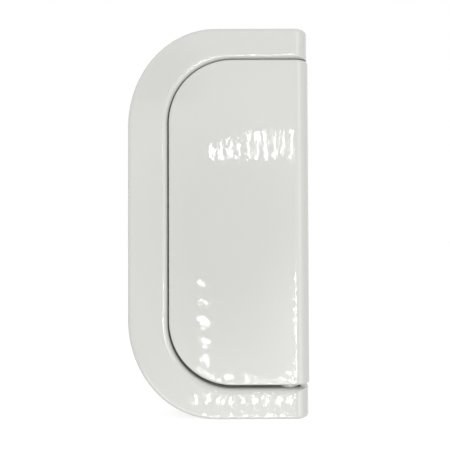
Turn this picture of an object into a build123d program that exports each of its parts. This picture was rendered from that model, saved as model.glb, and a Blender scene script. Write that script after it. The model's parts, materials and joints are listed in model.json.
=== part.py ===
from build123d import *
import os

# Fold-flat handle for a bi-fold door: a C-shaped cast base and a D-shaped flap hinged in its open side.
# X runs across the door towards the hinge edge, Z runs up, the door's face is the plane Y = 0 and the
# handle stands out from it towards -Y. The origin is the centre of the base on the door.

# Driving dimensions, in millimetres

# Base casting
body_height = 150.0
body_width = 69.4
body_depth = 18.0
stile_width = 15.2
arm_height = 11.7
outer_corner_width = 33.8
outer_corner_height = 38.0
opening_corner_radius = 25.0
floor_thickness = 3.0
floor_inset = 1.5
casting_wall = 2.5
arm_end_wall = 3.2
rib_thickness = 1.8
stile_rib_height = 22.0
arm_rib_from_hinge = 12.0
outer_rim_radius = 1.6
opening_rim_radius = 2.0

# Flap casting
gap_left = 0.5
gap_top = 0.45
gap_bottom = 1.35
flap_overhang = 0.5
flap_skin = 2.9
lip_thickness = 2.4
lip_depth = 10.0
lip_edge_radius = 0.9
flap_rim_radius = 1.1

# Hinge edge, rounded over on the arms and on the flap
hinge_edge_radius = 5.8
hinge_edge_flat = 0.8
hinge_inset = 8.0
hinge_wall = 2.4
channel_wall_depth = 9.5
barrel_over_size = 0.2
end_knuckle_length = 18.0
middle_knuckle_length = 24.0

# Pivot pins and bushes
pin_radius = 2.0
pin_grip = 15.0
bush_wall = 0.8
bush_shoulder_radius = 3.1
bush_flange_radius = 3.5
spot_face_radius = 4.6
spot_face_depth = 0.4
bush_stand_in = 0.6
flange_clearance = 0.15
running_clearance = 0.05
seat_clearance = 0.02
pin_edge = 0.3

# Caps over the pin holes
cap_radius = 4.0
cap_thickness = 1.2
cap_edge = 0.3

# Torsion springs in the arms
wire_radius = 0.4
spring_radius = 3.2
spring_turns = 4.25
spring_pitch = 0.95
spring_leg = 8.5
spring_clearance = 0.3
leg_hole_clearance = 0.1

# Set screws that lock the pins in the flap
screw_radius = 1.5
screw_length = 4.0
screw_from_end = 9.0
pin_flat_depth = 0.4
pin_flat_length = 4.0
socket_width = 1.5
socket_depth = 1.6

# Open stop on the floor
stop_thickness = 2.4
stop_length = 16.0
stop_height = 8.0
stop_clearance = 0.3

# Rubber buffers under the free edge
buffer_radius = 2.9
buffer_height = 30.0
buffer_seat = 1.0
buffer_edge = 0.6
buffer_clearance = 0.1

# Countersunk fixing holes
fixing_centre_x = 3.0
fixing_spacing_x = 22.0
fixing_spacing_z = 88.0
fixing_radius = 2.25
fixing_head_radius = 4.5
fixing_head_angle = 90.0

# Worked-out sizes and places
half_width = body_width / 2
half_height = body_height / 2
opening_left = stile_width - half_width
opening_half = half_height - arm_height
flap_left = opening_left + gap_left
flap_right = half_width + flap_overhang
flap_top = opening_half - gap_top
flap_bottom = gap_bottom - opening_half
flap_height = flap_top - flap_bottom
flap_corner_radius = opening_corner_radius - gap_left
flap_thickness = 2 * hinge_edge_radius + hinge_edge_flat
flap_back = body_depth - flap_thickness
skin_back = body_depth - flap_skin
lip_back = body_depth - lip_depth
hinge_x = flap_right - hinge_inset
hinge_stand = body_depth - flap_thickness / 2
knuckle_radius = flap_thickness / 2 + barrel_over_size
bush_radius = pin_radius + running_clearance + bush_wall
bush_end = opening_half + casting_wall + bush_stand_in
pin_hole_radius = pin_radius + running_clearance
pin_end = half_height - cap_thickness - spring_clearance
coil_start = bush_end + spring_clearance + wire_radius
pin_flat_y = pin_radius - pin_flat_depth - hinge_stand
stop_x = hinge_x - knuckle_radius - stop_clearance
buffer_x = opening_left + running_clearance + buffer_radius
hinge_centre = (hinge_x, -hinge_stand)


class DOutline(BaseSketchObject):
    """A rectangle whose two corners on the left are rounded."""

    def __init__(self, left, right, bottom, top, corner_radius, mode=Mode.ADD):
        with BuildSketch() as outline:
            with Locations((left, bottom)):
                Rectangle(right - left, top - bottom, align=(Align.MIN, Align.MIN))
            fillet(outline.vertices().group_by(Axis.X)[0], corner_radius)
        super().__init__(obj=outline.sketch, rotation=0, align=None, mode=mode)


class OvalOutline(BaseSketchObject):
    """A rectangle about the origin whose two corners on the left are quarter ellipses."""

    def __init__(self, left, right, half, corner_width, corner_height, mode=Mode.ADD):
        corner_x = left + corner_width
        corner_z = half - corner_height
        with BuildSketch() as outline:
            with BuildLine():
                EllipticalCenterArc((corner_x, corner_z), corner_width, corner_height, 90)
                Line((left, corner_z), (left, -corner_z))
                EllipticalCenterArc((corner_x, -corner_z), corner_width, corner_height, 180)
                Polyline((corner_x, -half), (right, -half), (right, half), (corner_x, half))
            make_face()
        super().__init__(obj=outline.sketch, rotation=0, align=None, mode=mode)


def end_plane(side, height):
    """A plane across the hinge axis at a height towards one side, facing that side."""
    return Plane((hinge_x, -hinge_stand, side * height), x_dir=(1, 0, 0), z_dir=(0, 0, side))


# Base: a D block opened to a C and rounded over at the hinge edge, then floored and cored from behind
with BuildPart() as base_body:
    with BuildSketch(Plane.XZ):
        OvalOutline(-half_width, half_width, half_height, outer_corner_width, outer_corner_height)
    extrude(amount=body_depth)
    with BuildSketch(Plane.XZ):
        DOutline(opening_left, body_width, -opening_half, opening_half, opening_corner_radius)
    extrude(amount=body_depth, mode=Mode.SUBTRACT)

    # The inner rim is rounded before the hinge edge, so its round ends where the arms curve back
    opening_edges = base_body.edges(Select.LAST).group_by(Axis.Y)[0]
    fillet(opening_edges.group_by(Axis.X)[:-1], opening_rim_radius)
    with BuildSketch(Plane.XY.offset(-half_height)) as plan:
        with Locations((half_width, 0)):
            Rectangle(body_width, body_depth, align=(Align.MAX, Align.MAX))
        fillet(plan.vertices().group_by(Axis.X)[-1].sort_by(Axis.Y)[0], hinge_edge_radius)
    extrude(amount=body_height, mode=Mode.INTERSECT)

    # The outer rim is rounded after it and runs on round the ends of the arms
    front_edges = base_body.faces().sort_by(Axis.Y)[0].edges()
    fillet(front_edges.sort_by(Axis.X)[0], outer_rim_radius)

    # Floor behind the flap
    with BuildSketch(Plane.XZ):
        DOutline(
            opening_left - casting_wall / 2,
            half_width - floor_inset,
            -opening_half - casting_wall / 2,
            opening_half + casting_wall / 2,
            opening_corner_radius + casting_wall / 2,
        )
    extrude(amount=floor_thickness)

    # Core of the stile and the arms, with ribs across it
    with BuildSketch(Plane.XZ):
        OvalOutline(
            casting_wall - half_width,
            half_width - arm_end_wall,
            half_height - casting_wall,
            outer_corner_width - casting_wall,
            outer_corner_height - casting_wall,
        )
        DOutline(
            opening_left - casting_wall,
            body_width,
            -opening_half - casting_wall,
            opening_half + casting_wall,
            opening_corner_radius + casting_wall,
            mode=Mode.SUBTRACT,
        )
        with Locations((opening_left, stile_rib_height), (opening_left, -stile_rib_height)):
            Rectangle(2 * stile_width, rib_thickness, mode=Mode.SUBTRACT)
        with Locations((hinge_x - arm_rib_from_hinge, 0)):
            Rectangle(rib_thickness, body_height, mode=Mode.SUBTRACT)
    extrude(amount=body_depth - casting_wall, mode=Mode.SUBTRACT)

    # Stop rib beside the middle knuckle
    with BuildSketch(Plane.XZ.offset(floor_thickness)):
        with Locations((stop_x, 0)):
            Rectangle(stop_thickness, stop_length, align=(Align.MAX, Align.CENTER))
    extrude(amount=stop_height)

    # Pin hole and cap seat through each outer wall, spot-faced bush seat through each inner wall
    with Locations(end_plane(1, half_height), end_plane(-1, half_height)):
        CounterBoreHole(pin_hole_radius, cap_radius + seat_clearance, cap_thickness, arm_height / 2)
    with Locations(end_plane(1, -opening_half), end_plane(-1, -opening_half)):
        CounterBoreHole(
            bush_radius + seat_clearance,
            spot_face_radius,
            spot_face_depth,
            bush_end - opening_half,
        )

    # Seats of the buffers
    with Locations(
        *[
            Plane((buffer_x, -floor_thickness, side * buffer_height), x_dir=(1, 0, 0), z_dir=(0, -1, 0))
            for side in (1, -1)
        ]
    ):
        Hole(buffer_radius + seat_clearance, buffer_seat)

    # Fixing holes, countersunk from the front
    fixing_face = Plane((fixing_centre_x, -floor_thickness, 0), x_dir=(1, 0, 0), z_dir=(0, -1, 0))
    with Locations(fixing_face):
        with GridLocations(fixing_spacing_x, fixing_spacing_z, 2, 2):
            CounterSinkHole(fixing_radius, fixing_head_radius, floor_thickness, fixing_head_angle)

# Flap: a D pan with a rounded hinge edge and three knuckles
with BuildPart() as flap:
    with BuildSketch(Plane.XZ.offset(flap_back)):
        DOutline(flap_left, flap_right, flap_bottom, flap_top, flap_corner_radius)
    extrude(amount=flap_thickness)
    fillet(flap.edges().filter_by(Axis.Z).group_by(Axis.X)[-1], hinge_edge_radius)
    front_edges = flap.faces().sort_by(Axis.Y)[0].edges()
    fillet(front_edges.group_by(Axis.X)[:-1], flap_rim_radius)

    # The rim is only as deep as the finger lip, up to the hinge axis
    with BuildSketch(Plane.XZ.offset(flap_back)):
        with Locations((hinge_x, flap_bottom)):
            Rectangle(hinge_x - flap_left, flap_height, align=(Align.MAX, Align.MIN))
    extrude(amount=lip_back - flap_back, mode=Mode.SUBTRACT)

    # Finger hollow inside the lip
    with BuildSketch(Plane.XZ.offset(flap_back)):
        DOutline(
            flap_left + lip_thickness,
            hinge_x,
            flap_bottom + lip_thickness,
            flap_top - lip_thickness,
            flap_corner_radius - lip_thickness,
        )
    extrude(amount=skin_back - flap_back, mode=Mode.SUBTRACT)
    lip_face = flap.faces().filter_by(Plane.XZ).sort_by(Axis.Y)[-2]
    fillet(lip_face.edges().group_by(Axis.X)[:-1], lip_edge_radius)

    # Channels along the hinge edge, between the knuckles
    channel_starts = (middle_knuckle_length / 2, flap_bottom + end_knuckle_length)
    channel_ends = (flap_top - end_knuckle_length, -middle_knuckle_length / 2)
    for start, end in zip(channel_starts, channel_ends):
        with BuildSketch(Plane.XY.offset(start)):
            with Locations((hinge_x, -flap_back)):
                Rectangle(
                    hinge_inset - hinge_wall,
                    skin_back - flap_back,
                    align=(Align.MIN, Align.MAX),
                )
            with Locations((hinge_x, -flap_back)):
                Rectangle(
                    hinge_inset,
                    body_depth - channel_wall_depth - flap_back,
                    align=(Align.MIN, Align.MAX),
                )
        extrude(amount=end - start, mode=Mode.SUBTRACT)

    # Knuckles, which reach into the front skin
    knuckle_spans = (
        (flap_top - end_knuckle_length, flap_top - flap_rim_radius),
        (-middle_knuckle_length / 2, middle_knuckle_length / 2),
        (flap_bottom + flap_rim_radius, flap_bottom + end_knuckle_length),
    )
    for start, end in knuckle_spans:
        with BuildSketch(Plane.XY.offset(start)):
            with Locations(hinge_centre):
                Circle(knuckle_radius)
            with Locations((hinge_x, -body_depth + flap_skin / 2)):
                Rectangle(
                    2 * knuckle_radius,
                    2 * knuckle_radius,
                    align=(Align.CENTER, Align.MAX),
                    mode=Mode.SUBTRACT,
                )
        extrude(amount=end - start)

    # Pin bores and the screw holes that meet them
    with Locations(end_plane(1, flap_top), end_plane(-1, -flap_bottom)):
        Hole(pin_radius + seat_clearance, pin_grip + spring_clearance)
    with Locations(
        *[
            Plane((hinge_x, -hinge_stand + knuckle_radius, height), x_dir=(1, 0, 0), z_dir=(0, 1, 0))
            for height in (flap_top - screw_from_end, flap_bottom + screw_from_end)
        ]
    ):
        Hole(screw_radius + seat_clearance, knuckle_radius)

pieces = {"base_body": base_body, "flap": flap}

# The pivot at each end of the flap: pin, bush, set screw and cap
pivots = (("upper", 1, flap_top, gap_top), ("lower", -1, -flap_bottom, gap_bottom))
for name, side, flap_end, gap in pivots:
    screw_height = side * (flap_end - screw_from_end)

    # Pin with a flat for the set screw and a cross hole for the spring
    with BuildPart() as pivot_pin:
        with BuildSketch(end_plane(side, flap_end - pin_grip)):
            Circle(pin_radius)
        extrude(amount=pin_end - flap_end + pin_grip)
        chamfer(pivot_pin.edges().filter_by(GeomType.CIRCLE), pin_edge)
        with Locations((hinge_x, pin_flat_y, screw_height)):
            Box(
                2 * pin_radius,
                pin_radius,
                pin_flat_length,
                align=(Align.CENTER, Align.MIN, Align.CENTER),
                mode=Mode.SUBTRACT,
            )
        with Locations(Plane((hinge_x + pin_radius, -hinge_stand, side * coil_start), z_dir=(1, 0, 0))):
            Hole(wire_radius + leg_hole_clearance, 2 * pin_radius)
    pieces[f"{name}_pivot_pin"] = pivot_pin

    # Bush that stands on its spot face, with a flange in the gap beside the flap
    with BuildPart() as bush:
        with BuildSketch(end_plane(side, opening_half)):
            Circle(bush_radius)
        extrude(amount=bush_end - opening_half)
        with BuildSketch(end_plane(side, opening_half)):
            Circle(bush_shoulder_radius)
        extrude(amount=spot_face_depth)
        with BuildSketch(end_plane(side, opening_half)):
            Circle(bush_flange_radius)
        extrude(amount=flange_clearance - gap)
        with Locations(end_plane(side, bush_end)):
            Hole(pin_hole_radius)
    pieces[f"{name}_bush"] = bush

    # Set screw with a hexagon socket
    with BuildPart() as set_screw:
        with BuildSketch(Plane((hinge_x, pin_flat_y, screw_height), x_dir=(1, 0, 0), z_dir=(0, 1, 0))):
            Circle(screw_radius)
        extrude(amount=screw_length)
        with BuildSketch(set_screw.faces().sort_by(Axis.Y)[-1]):
            RegularPolygon(socket_width / 2, 6, major_radius=False)
        extrude(amount=-socket_depth, mode=Mode.SUBTRACT)
    pieces[f"{name}_set_screw"] = set_screw

    # Cap, flush with the end of the arm
    with BuildPart() as pin_cap:
        with BuildSketch(end_plane(side, half_height - cap_thickness)):
            Circle(cap_radius)
        extrude(amount=cap_thickness)
        chamfer(pin_cap.faces().sort_by(Axis.Z)[-1 if side > 0 else 0].edges(), cap_edge)
    pieces[f"{name}_pin_cap"] = pin_cap

    # Buffer with a rounded top, seated in the floor
    with BuildPart() as buffer:
        with BuildSketch(Plane.XZ.offset(floor_thickness - buffer_seat)):
            with Locations((buffer_x, side * buffer_height)):
                Circle(buffer_radius)
        extrude(amount=lip_back - buffer_clearance - floor_thickness + buffer_seat)
        fillet(buffer.faces().sort_by(Axis.Y)[0].edges(), buffer_edge)
    pieces[f"{name}_buffer"] = buffer

# Spring: left-hand coils round the pin, one leg through the pin and one along the arm's front wall
with BuildPart() as upper_spring:
    with BuildLine() as coil:
        Helix(
            spring_pitch,
            spring_turns * spring_pitch,
            spring_radius,
            center=(*hinge_centre, coil_start),
            lefthand=True,
        )
    coil_line = coil.line
    with BuildSketch(Plane(coil_line @ 0, z_dir=coil_line % 0)):
        Circle(wire_radius)
    sweep(path=coil_line, is_frenet=True)
    with BuildSketch(Plane(coil_line @ 0, z_dir=(-1, 0, 0))):
        Circle(wire_radius)
    extrude(amount=spring_radius)
    with Locations(coil_line @ 0):
        Sphere(wire_radius)
    with BuildSketch(Plane(coil_line @ 1, z_dir=coil_line % 1)):
        Circle(wire_radius)
    extrude(amount=spring_leg)
pieces["upper_spring"] = upper_spring

with BuildPart() as lower_spring:
    mirror(upper_spring.part, about=Plane.XY)
pieces["lower_spring"] = lower_spring

os.makedirs("parts", exist_ok=True)
for name, piece in pieces.items():
    piece.part.label = name
    export_step(piece.part, f"parts/{name}.step")
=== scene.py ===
import json
import math

import bpy
from mathutils import Matrix, Vector


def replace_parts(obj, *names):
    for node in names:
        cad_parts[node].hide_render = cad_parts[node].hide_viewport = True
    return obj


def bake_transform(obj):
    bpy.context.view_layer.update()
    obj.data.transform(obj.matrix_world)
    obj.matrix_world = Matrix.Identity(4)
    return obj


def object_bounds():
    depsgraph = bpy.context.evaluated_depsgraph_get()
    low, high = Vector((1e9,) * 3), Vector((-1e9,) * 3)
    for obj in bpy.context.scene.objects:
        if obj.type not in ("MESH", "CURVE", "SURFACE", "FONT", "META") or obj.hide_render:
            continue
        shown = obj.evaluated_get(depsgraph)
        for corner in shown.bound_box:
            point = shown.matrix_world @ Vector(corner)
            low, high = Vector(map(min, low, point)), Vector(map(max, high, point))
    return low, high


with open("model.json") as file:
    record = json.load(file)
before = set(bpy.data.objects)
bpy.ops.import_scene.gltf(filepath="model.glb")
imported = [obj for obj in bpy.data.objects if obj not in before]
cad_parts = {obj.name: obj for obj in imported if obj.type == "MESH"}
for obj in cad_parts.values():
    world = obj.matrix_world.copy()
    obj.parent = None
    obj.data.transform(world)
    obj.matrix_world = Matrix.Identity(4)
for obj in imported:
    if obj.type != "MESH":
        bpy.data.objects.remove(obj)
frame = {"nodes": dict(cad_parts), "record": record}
cad_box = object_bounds()

# Lengths are in metres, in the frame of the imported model: X across, Z up, front towards -Y
MM = 0.001
UPRIGHT = math.radians(90)
left, front, bottom = cad_box[0]
right, back, top = cad_box[1]
middle = ((left + right) / 2, (front + back) / 2, (bottom + top) / 2)

# Photograph: a square frame, its scale on the handle's face and where its middle meets that face
PHOTO_PIXELS = 450
PIXELS_PER_METRE = 2620.0
AIM_X = 2.57 * MM
AIM_Z = -0.92 * MM

# Camera: a little low, looking up and slightly rolled; its sensor is in millimetres, as Blender takes it
CAMERA_DISTANCE = 230.0 * MM
CAMERA_PITCH = math.radians(1.3)
CAMERA_ROLL = math.radians(-0.18)
SENSOR_WIDTH = 36.0

# Textures: the noise values between which a finish goes from one end of its range to the other
FIRM_SPAN = (0.35, 0.65)
SOFT_SPAN = (0.3, 0.7)

# Powder coat: broad mottling, a soft sheen, and a clear skin with orange peel and fine waves
COAT_WHITE = (0.652, 0.655, 0.625)
COAT_SHADE = (0.642, 0.646, 0.618)
COAT_WAVE = 45.0 * MM
COAT_DETAIL = 1.0
COAT_IOR = 1.5
SHEEN_LEVEL = 0.25
SHEEN_WAVE = 6.0 * MM
SHEEN_ROUGHNESS = (0.28, 0.30)
SKIN_ROUGHNESS = 0.035
SKIN_DETAIL = 0.5
PEEL_WAVE = 2.6 * MM
PEEL_DEPTH = 0.012 * MM
FINE_WAVE = 0.8 * MM
FINE_DEPTH = 0.0016 * MM

# Moulded plastics: colour, its shade in the mottling, roughness and depth of the grain
PLASTICS = {
    "bush_acetal": ((0.60, 0.60, 0.58), (0.54, 0.54, 0.52), 0.38, 0.004 * MM),
    "white_plastic": ((0.66, 0.66, 0.64), (0.62, 0.62, 0.60), 0.28, 0.003 * MM),
    "buffer_rubber": ((0.045, 0.045, 0.045), (0.03, 0.03, 0.03), 0.62, 0.01 * MM),
}
PLASTIC_IOR = 1.48
MOTTLE_WAVE = 4.0 * MM
MOTTLE_DETAIL = 3.0
MOTTLE_ROUGHNESS = 0.05
GRAIN_WAVE = 0.35 * MM

# Steels: colour, its shade in the marks, roughness, and how many times closer marks lie along X, Y and Z
STEELS = {
    "pin_steel": ((0.62, 0.62, 0.63), (0.48, 0.48, 0.49), 0.28, (1.0, 1.0, 6.0)),
    "screw_steel": ((0.12, 0.12, 0.13), (0.07, 0.07, 0.075), 0.42, (1.0, 6.0, 1.0)),
    "spring_wire": ((0.56, 0.56, 0.57), (0.42, 0.42, 0.43), 0.30, (1.0, 1.0, 4.0)),
}
MARK_WAVE = 0.25 * MM
MARK_DETAIL = 3.0
MARK_DEPTH = 0.004 * MM
MARK_SMOOTHER = 0.06
MARK_ROUGHER = 0.08

# Springs: the same wire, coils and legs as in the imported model
HINGE_X = 27.2 * MM
HINGE_Y = -11.8 * MM
WIRE_RADIUS = 0.4 * MM
WIRE_BEVEL_STEPS = 3
COIL_RADIUS = 3.2 * MM
COIL_START = 67.1 * MM
COIL_PITCH = 0.95 * MM
COIL_TURNS = 4.25
SPRING_LEG = 8.5 * MM
STEPS_PER_TURN = 32

# Soft panels: name, place, width, height and radiance, and whether matt surfaces and gloss catch them
PANELS = (
    ("broad_panel", (0.1, -1.3, -0.1), 1.3, 1.3, 2.35, True, False),
    ("low_panel", (0.05, -0.75, -0.75), 1.4, 0.7, 0.9, True, True),
    ("right_panel", (0.62, -0.66, 0.0), 0.3, 1.4, 1.3, False, True),
    ("low_right_panel", (0.62, -0.52, -0.50), 0.55, 0.55, 0.7, False, True),
)

# Small lamps in rows: how far they stand before the face, and each row's name, the first and last place
# (X, Z) where a flat face mirrors it, how many lamps it has, a glint's width and height, and radiance
LAMP_DISTANCE = 500.0 * MM
FACE_ROWS = (
    ("upper_row_left", (-0.0024, 0.0276), (0.0080, 0.0282), 4, 0.0007, 0.0064, 28.0),
    ("upper_row_right", (0.0116, 0.0294), (0.0283, 0.0300), 6, 0.0007, 0.0098, 28.0),
    ("left_column_a", (-0.0071, -0.0229), (-0.0056, -0.0514), 5, 0.0011, 0.0012, 30.0),
    ("left_column_b", (-0.0054, -0.0236), (-0.0036, -0.0524), 5, 0.0011, 0.0013, 30.0),
    ("left_column_c", (-0.0062, -0.0404), (-0.0046, -0.0536), 3, 0.0012, 0.0010, 30.0),
    ("foot_ends", (0.0037, -0.0586), (0.0268, -0.0570), 2, 0.0016, 0.0013, 30.0),
    ("foot_left", (0.0102, -0.0584), (0.0129, -0.0582), 2, 0.0008, 0.0009, 36.0),
    ("foot_arc", (-0.0078, -0.0560), (-0.0003, -0.0597), 5, 0.0012, 0.0005, 30.0),
    ("foot_dashes", (0.0110, -0.0600), (0.0272, -0.0598), 6, 0.0014, 0.0005, 30.0),
    ("lower_row", (-0.0086, -0.0672), (0.0272, -0.0677), 9, 0.0012, 0.0024, 28.0),
)

# Rows beyond the faces' own reflection, which only the rounded edges mirror
EDGE_ROWS = (
    ("right_column", (0.0445, -0.0215), (0.0445, -0.0660), 12, 0.0300, 0.0017, 24.0),
    ("low_row", (-0.0105, -0.0930), (0.0301, -0.0930), 9, 0.0014, 0.0390, 24.0),
    ("far_row", (-0.0105, -0.1446), (0.0301, -0.1446), 9, 0.0016, 0.0810, 8.0),
    ("low_left_row", (-0.1000, -0.1050), (-0.0300, -0.1400), 6, 0.0100, 0.0300, 5.0),
)

# Dim cards: how far they stand before the face, their grey, the part of the fade from rim to middle in
# which they darken, and each one's name with the place (X, Z) and half size that the face mirrors
CARD_DISTANCE = 530.0 * MM
CARD_GREY = 0.05
CARD_FADE = (0.0, 0.625)
DIM_CARDS = (
    ("dim_card", 0.0018, -0.0043, 0.0394, 0.0515),
    ("dim_card_corner", -0.0220, 0.0540, 0.0220, 0.0220),
)

# Floor: its width, its grey as the light meets it, and its grey and glow as the camera sees it
FLOOR_WIDTH = 8.0
FLOOR_GREY = 0.8
FLOOR_SEEN_GREY = 0.7
FLOOR_SEEN_GLOW = 0.64

# World: its strength as light and as a background
WORLD_LIGHT = 0.55
WORLD_SEEN = 1.0


def grey(level):
    """A neutral colour with its alpha."""
    return (level, level, level, 1.0)


def emptied_tree(owner):
    """The node tree of a material or a world, with nothing in it."""
    owner.use_nodes = True
    owner.node_tree.nodes.clear()
    return owner.node_tree


def new_material(name):
    """A node material and its empty tree."""
    material = bpy.data.materials.new(name)
    return material, emptied_tree(material)


def new_node(tree, kind, **settings):
    """A new node: an output of another node is linked, and any other setting is a plain value."""
    node = tree.nodes.new(kind)
    for key, value in settings.items():
        socket = key.replace("_", " ")
        if isinstance(value, bpy.types.NodeSocket):
            tree.links.new(value, node.inputs[socket])
        elif socket in node.inputs:
            node.inputs[socket].default_value = value
        else:
            setattr(node, key, value)
    return node


def joined(tree, kind, *sources, **settings):
    """The output of a new node that takes the outputs of other nodes in the order of its sockets."""
    node = new_node(tree, kind, **settings)
    for source, socket in zip(sources, node.inputs):
        tree.links.new(source, socket)
    return node.outputs[0]


def noise(tree, wave, detail=2.0, closeness=None):
    """Noise in the part's own coordinates, with features about one wave wide, or closer along an axis."""
    place = new_node(tree, "ShaderNodeTexCoord").outputs["Object"]
    if closeness is not None:
        place = new_node(tree, "ShaderNodeMapping", Vector=place, Scale=closeness).outputs["Vector"]
    texture = new_node(tree, "ShaderNodeTexNoise", Vector=place, Scale=1.0 / wave, Detail=detail)
    return texture.outputs["Fac"]


def coloured(tree, texture, span, first, second):
    """A colour that goes from the first to the second while a texture crosses a span."""
    ramp = new_node(tree, "ShaderNodeValToRGB", Fac=texture)
    for stop, position, colour in zip(ramp.color_ramp.elements, span, (first, second)):
        stop.position = position
        stop.color = (*colour, 1.0)
    return ramp.outputs["Color"]


def mapped(tree, texture, span, first, second):
    """A value that goes from the first to the second while a texture crosses a span."""
    low, high = span
    node = new_node(
        tree,
        "ShaderNodeMapRange",
        Value=texture,
        From_Min=low,
        From_Max=high,
        To_Min=first,
        To_Max=second,
    )
    return node.outputs["Result"]


def bumped(tree, height, depth, before=None):
    """The normal of a bump of a real depth, after an earlier bump if there is one."""
    bump = new_node(tree, "ShaderNodeBump", Strength=1.0, Distance=depth, Height=height)
    if before is not None:
        tree.links.new(before, bump.inputs["Normal"])
    return bump.outputs["Normal"]


def principled_surface(tree, **settings):
    """The material's surface: a Principled shader with its textures and plain values."""
    shader = new_node(tree, "ShaderNodeBsdfPrincipled", **settings)
    new_node(tree, "ShaderNodeOutputMaterial", Surface=shader.outputs["BSDF"])


def powder_coat(name):
    """White gloss powder coat: orange peel under a clear skin."""
    material, tree = new_material(name)
    mottle = noise(tree, COAT_WAVE, COAT_DETAIL)
    sheen = noise(tree, SHEEN_WAVE)
    peel = bumped(tree, noise(tree, PEEL_WAVE, SKIN_DETAIL), PEEL_DEPTH)
    skin = bumped(tree, noise(tree, FINE_WAVE, SKIN_DETAIL), FINE_DEPTH, before=peel)
    principled_surface(
        tree,
        Base_Color=coloured(tree, mottle, FIRM_SPAN, COAT_SHADE, COAT_WHITE),
        Roughness=mapped(tree, sheen, SOFT_SPAN, *SHEEN_ROUGHNESS),
        IOR=COAT_IOR,
        Specular_IOR_Level=SHEEN_LEVEL,
        Coat_Weight=1.0,
        Coat_Roughness=SKIN_ROUGHNESS,
        Coat_IOR=COAT_IOR,
        Normal=skin,
        Coat_Normal=skin,
    )
    return material


def moulded_plastic(name, colour, shade, roughness, grain_depth):
    """Moulded plastic with slight mottling and a fine grain."""
    material, tree = new_material(name)
    mottle = noise(tree, MOTTLE_WAVE, MOTTLE_DETAIL)
    smoother, rougher = roughness - MOTTLE_ROUGHNESS, roughness + MOTTLE_ROUGHNESS
    principled_surface(
        tree,
        Base_Color=coloured(tree, mottle, FIRM_SPAN, shade, colour),
        Roughness=mapped(tree, mottle, SOFT_SPAN, smoother, rougher),
        IOR=PLASTIC_IOR,
        Normal=bumped(tree, noise(tree, GRAIN_WAVE), grain_depth),
    )
    return material


def worked_steel(name, colour, shade, roughness, closeness):
    """Steel with marks that lie closer along one axis, as turning and drawing leave them."""
    material, tree = new_material(name)
    marks = noise(tree, MARK_WAVE, MARK_DETAIL, closeness)
    smoother, rougher = roughness - MARK_SMOOTHER, roughness + MARK_ROUGHER
    principled_surface(
        tree,
        Base_Color=coloured(tree, marks, SOFT_SPAN, shade, colour),
        Roughness=mapped(tree, marks, SOFT_SPAN, smoother, rougher),
        Metallic=1.0,
        Normal=bumped(tree, marks, MARK_DEPTH),
    )
    return material


finishes = {
    "white_powder_coat": powder_coat("white_powder_coat"),
    **{name: moulded_plastic(name, *values) for name, values in PLASTICS.items()},
    **{name: worked_steel(name, *values) for name, values in STEELS.items()},
}
for row in frame["record"]["subparts"]:
    mesh = frame["nodes"][row["node"]].data
    mesh.materials.clear()
    mesh.materials.append(finishes[row["material_slot"]])


def spring_path(side):
    """The wire's middle line: a leg from the pin's axis, left-hand coils and a leg along the arm."""
    points = [(0.0, 0.0, COIL_START)]
    steps = round(COIL_TURNS * STEPS_PER_TURN)
    for step in range(steps + 1):
        angle = 2 * math.pi * step / STEPS_PER_TURN
        height = COIL_START + COIL_PITCH * step / STEPS_PER_TURN
        points.append((COIL_RADIUS * math.cos(angle), -COIL_RADIUS * math.sin(angle), height))
    rise = COIL_PITCH / (2 * math.pi * COIL_RADIUS)
    x, y, z = points[-1]
    points.append((x - SPRING_LEG, y, z + SPRING_LEG * rise))
    return [(HINGE_X + x, HINGE_Y + y, side * z) for x, y, z in points]


def spring(name, side):
    """The wire of one spring, wound up between the flap's pin and the base."""
    curve = bpy.data.curves.new(name, "CURVE")
    curve.dimensions = "3D"
    curve.bevel_depth = WIRE_RADIUS
    curve.bevel_resolution = WIRE_BEVEL_STEPS
    curve.use_fill_caps = True
    path = spring_path(side)
    line = curve.splines.new("POLY")
    line.points.add(len(path) - 1)
    for point, place in zip(line.points, path):
        point.co = (*place, 1.0)
    drawn = bpy.data.objects.new(name + "_line", curve)
    bpy.context.scene.collection.objects.link(drawn)
    evaluated = drawn.evaluated_get(bpy.context.evaluated_depsgraph_get())
    mesh = bpy.data.meshes.new_from_object(evaluated)
    bpy.data.objects.remove(drawn)
    mesh.name = name
    mesh.shade_smooth()
    mesh.materials.clear()
    mesh.materials.append(finishes["spring_wire"])
    wire = bpy.data.objects.new(name, mesh)
    bpy.context.scene.collection.objects.link(wire)
    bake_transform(wire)
    return wire


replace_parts(spring("upper_spring_wire", 1), "upper_spring")
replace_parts(spring("lower_spring_wire", -1), "lower_spring")

# Camera, in front of the handle at the photograph's scale
turn = Matrix.Rotation(UPRIGHT + CAMERA_PITCH, 4, "X") @ Matrix.Rotation(CAMERA_ROLL, 4, "Z")
eye = Vector((AIM_X, front, AIM_Z)) + turn @ Vector((0.0, 0.0, CAMERA_DISTANCE))
camera_data = bpy.data.cameras.new("camera")
camera_data.sensor_width = SENSOR_WIDTH
camera_data.lens = PIXELS_PER_METRE * CAMERA_DISTANCE * SENSOR_WIDTH / PHOTO_PIXELS
camera = bpy.data.objects.new("camera", camera_data)
camera.matrix_world = Matrix.Translation(eye) @ turn
bpy.context.scene.collection.objects.link(camera)
bpy.context.scene.camera = camera


def area_lamp(name, place, aim, width, height, radiance):
    """A rectangular lamp of a given radiance, facing a point and unseen by the camera."""
    data = bpy.data.lights.new(name, "AREA")
    data.shape = "RECTANGLE"
    data.size = width
    data.size_y = height
    data.energy = radiance * math.pi * width * height
    lamp = bpy.data.objects.new(name, data)
    lamp.location = place
    lamp.rotation_euler = (Vector(aim) - Vector(place)).to_track_quat("-Z", "Y").to_euler()
    lamp.visible_camera = False
    bpy.context.scene.collection.objects.link(lamp)
    return lamp


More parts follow.
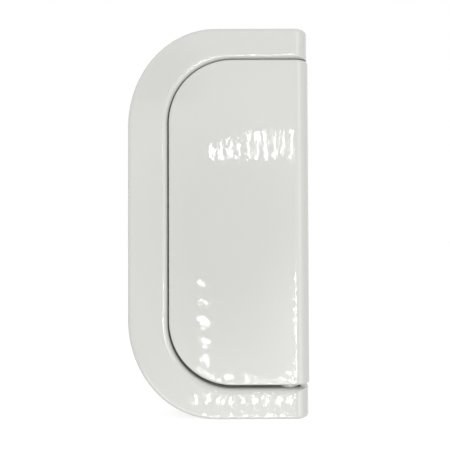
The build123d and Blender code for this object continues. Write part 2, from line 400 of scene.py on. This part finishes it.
def mirror_scale(distance):
    """How many times larger than its image on the face a thing is, at a distance before the face."""
    return 1.0 + distance / CAMERA_DISTANCE


def mirrored_place(x, z, distance):
    """The place at a distance before the face that the camera sees mirrored at a point of the face."""
    mirrored = eye + (Vector((x, front, z)) - eye) * mirror_scale(distance)
    return Vector((mirrored.x, 2 * front - mirrored.y, mirrored.z))


def glint_lamps(name, first, last, count, width, height, radiance):
    """A row of small lamps that a flat face mirrors from first to last at the given size."""
    scale = mirror_scale(LAMP_DISTANCE)
    for index in range(count):
        x, z = Vector(first).lerp(Vector(last), index / max(count - 1, 1))
        place = mirrored_place(x, z, LAMP_DISTANCE)
        lamp = area_lamp(f"{name}_{index}", place, (x, front, z), width * scale, height * scale, radiance)
        lamp.visible_diffuse = False


# Soft light from panels, and small lamps that only gloss mirrors
for name, place, width, height, radiance, on_matt, in_gloss in PANELS:
    panel = area_lamp(name, place, middle, width, height, radiance)
    panel.visible_diffuse = on_matt
    panel.visible_glossy = in_gloss
for row in FACE_ROWS + EDGE_ROWS:
    glint_lamps(*row)


def dim_card_finish():
    """A dark middle that fades to clear towards a card's rim."""
    material, tree = new_material("dim_card")
    place = new_node(tree, "ShaderNodeTexCoord").outputs["Object"]
    fade = new_node(tree, "ShaderNodeTexGradient", gradient_type="SPHERICAL", Vector=place)
    darkness = mapped(tree, fade.outputs["Fac"], CARD_FADE, 0.0, 1.0)
    clear = new_node(tree, "ShaderNodeBsdfTransparent")
    dark = new_node(tree, "ShaderNodeBsdfDiffuse", Color=grey(CARD_GREY))
    mix = joined(tree, "ShaderNodeMixShader", darkness, clear.outputs[0], dark.outputs[0])
    new_node(tree, "ShaderNodeOutputMaterial", Surface=mix)
    return material


# Dim cards behind the lamps, which the gloss mirrors as slightly darker patches
dim = dim_card_finish()
card_scale = mirror_scale(CARD_DISTANCE)
for name, x, z, half_width, half_height in DIM_CARDS:
    # From -1 to 1 each way, so that the scale is half the size
    bpy.ops.mesh.primitive_plane_add(size=2.0, location=mirrored_place(x, z, CARD_DISTANCE))
    card = bpy.context.object
    card.name = name
    card.rotation_euler = (UPRIGHT, 0.0, 0.0)
    card.scale = (half_width * card_scale, half_height * card_scale, 1.0)
    card.data.materials.append(dim)
    card.visible_camera = False
    card.visible_diffuse = False
    card.visible_transmission = False
    card.visible_shadow = False


def floor_finish():
    """Near white to the camera, with the shadows that fall on it, and pale to the light."""
    material, tree = new_material("floor")
    path = new_node(tree, "ShaderNodeLightPath")
    pale = new_node(tree, "ShaderNodeBsdfDiffuse", Color=grey(FLOOR_GREY))
    glow = new_node(tree, "ShaderNodeEmission", Color=grey(1.0), Strength=FLOOR_SEEN_GLOW)
    shaded = new_node(tree, "ShaderNodeBsdfDiffuse", Color=grey(FLOOR_SEEN_GREY))
    seen = joined(tree, "ShaderNodeAddShader", glow.outputs[0], shaded.outputs[0])
    mix = joined(tree, "ShaderNodeMixShader", path.outputs["Is Camera Ray"], pale.outputs[0], seen)
    new_node(tree, "ShaderNodeOutputMaterial", Surface=mix)
    return material


# Floor under the handle, which is no screen to the lamps below it
bpy.ops.mesh.primitive_plane_add(size=FLOOR_WIDTH, location=(0.0, 0.0, bottom))
floor = bpy.context.object
floor.name = "floor"
floor.data.materials.append(floor_finish())
floor.visible_shadow = False
floor.visible_glossy = False


def white_world():
    """White to the camera, in reflections and through clear things, and a soft grey as light."""
    world = bpy.data.worlds.new("world")
    tree = emptied_tree(world)
    path = new_node(tree, "ShaderNodeLightPath")
    seen = path.outputs["Is Camera Ray"]
    for ray in ("Is Glossy Ray", "Is Transmission Ray"):
        seen = joined(tree, "ShaderNodeMath", seen, path.outputs[ray], operation="MAXIMUM")
    soft = new_node(tree, "ShaderNodeBackground", Color=grey(1.0), Strength=WORLD_LIGHT)
    white = new_node(tree, "ShaderNodeBackground", Color=grey(1.0), Strength=WORLD_SEEN)
    mix = joined(tree, "ShaderNodeMixShader", seen, soft.outputs[0], white.outputs[0])
    new_node(tree, "ShaderNodeOutputWorld", Surface=mix)
    return world


bpy.context.scene.world = white_world()
bpy.context.scene.view_settings.view_transform = "Standard"
